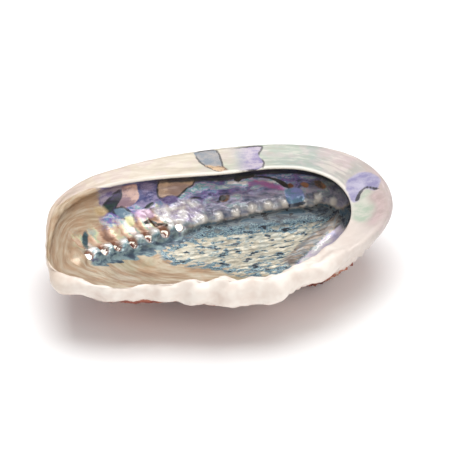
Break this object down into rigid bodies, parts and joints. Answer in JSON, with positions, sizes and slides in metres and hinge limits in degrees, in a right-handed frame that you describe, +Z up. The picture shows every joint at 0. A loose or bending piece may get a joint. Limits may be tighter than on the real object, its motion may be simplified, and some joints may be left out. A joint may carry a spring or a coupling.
{
  "type": "abalone shell",
  "caption": "Empty abalone shell resting on its domed back, an oval pearly bowl with a flat inner shelf, a scalloped outer lip and a row of small holes",
  "frame": {"origin": "middle of the shell's box in plan, at the level of the surface that its back rests on", "axes": "+X towards the spire end, along the shell's length; +Y towards the side with the flat inner shelf; +Z up, out of the open bowl"},
  "size_m": [0.1558, 0.1084, 0.0384],
  "materials": {
    "nacre": "satin mother of pearl inside, with cream, pink, lavender, teal and green patches; rough reddish-brown back"
  },
  "bodies": {
    "root": {"shell": "nacre"}
  },
  "joints": []
}
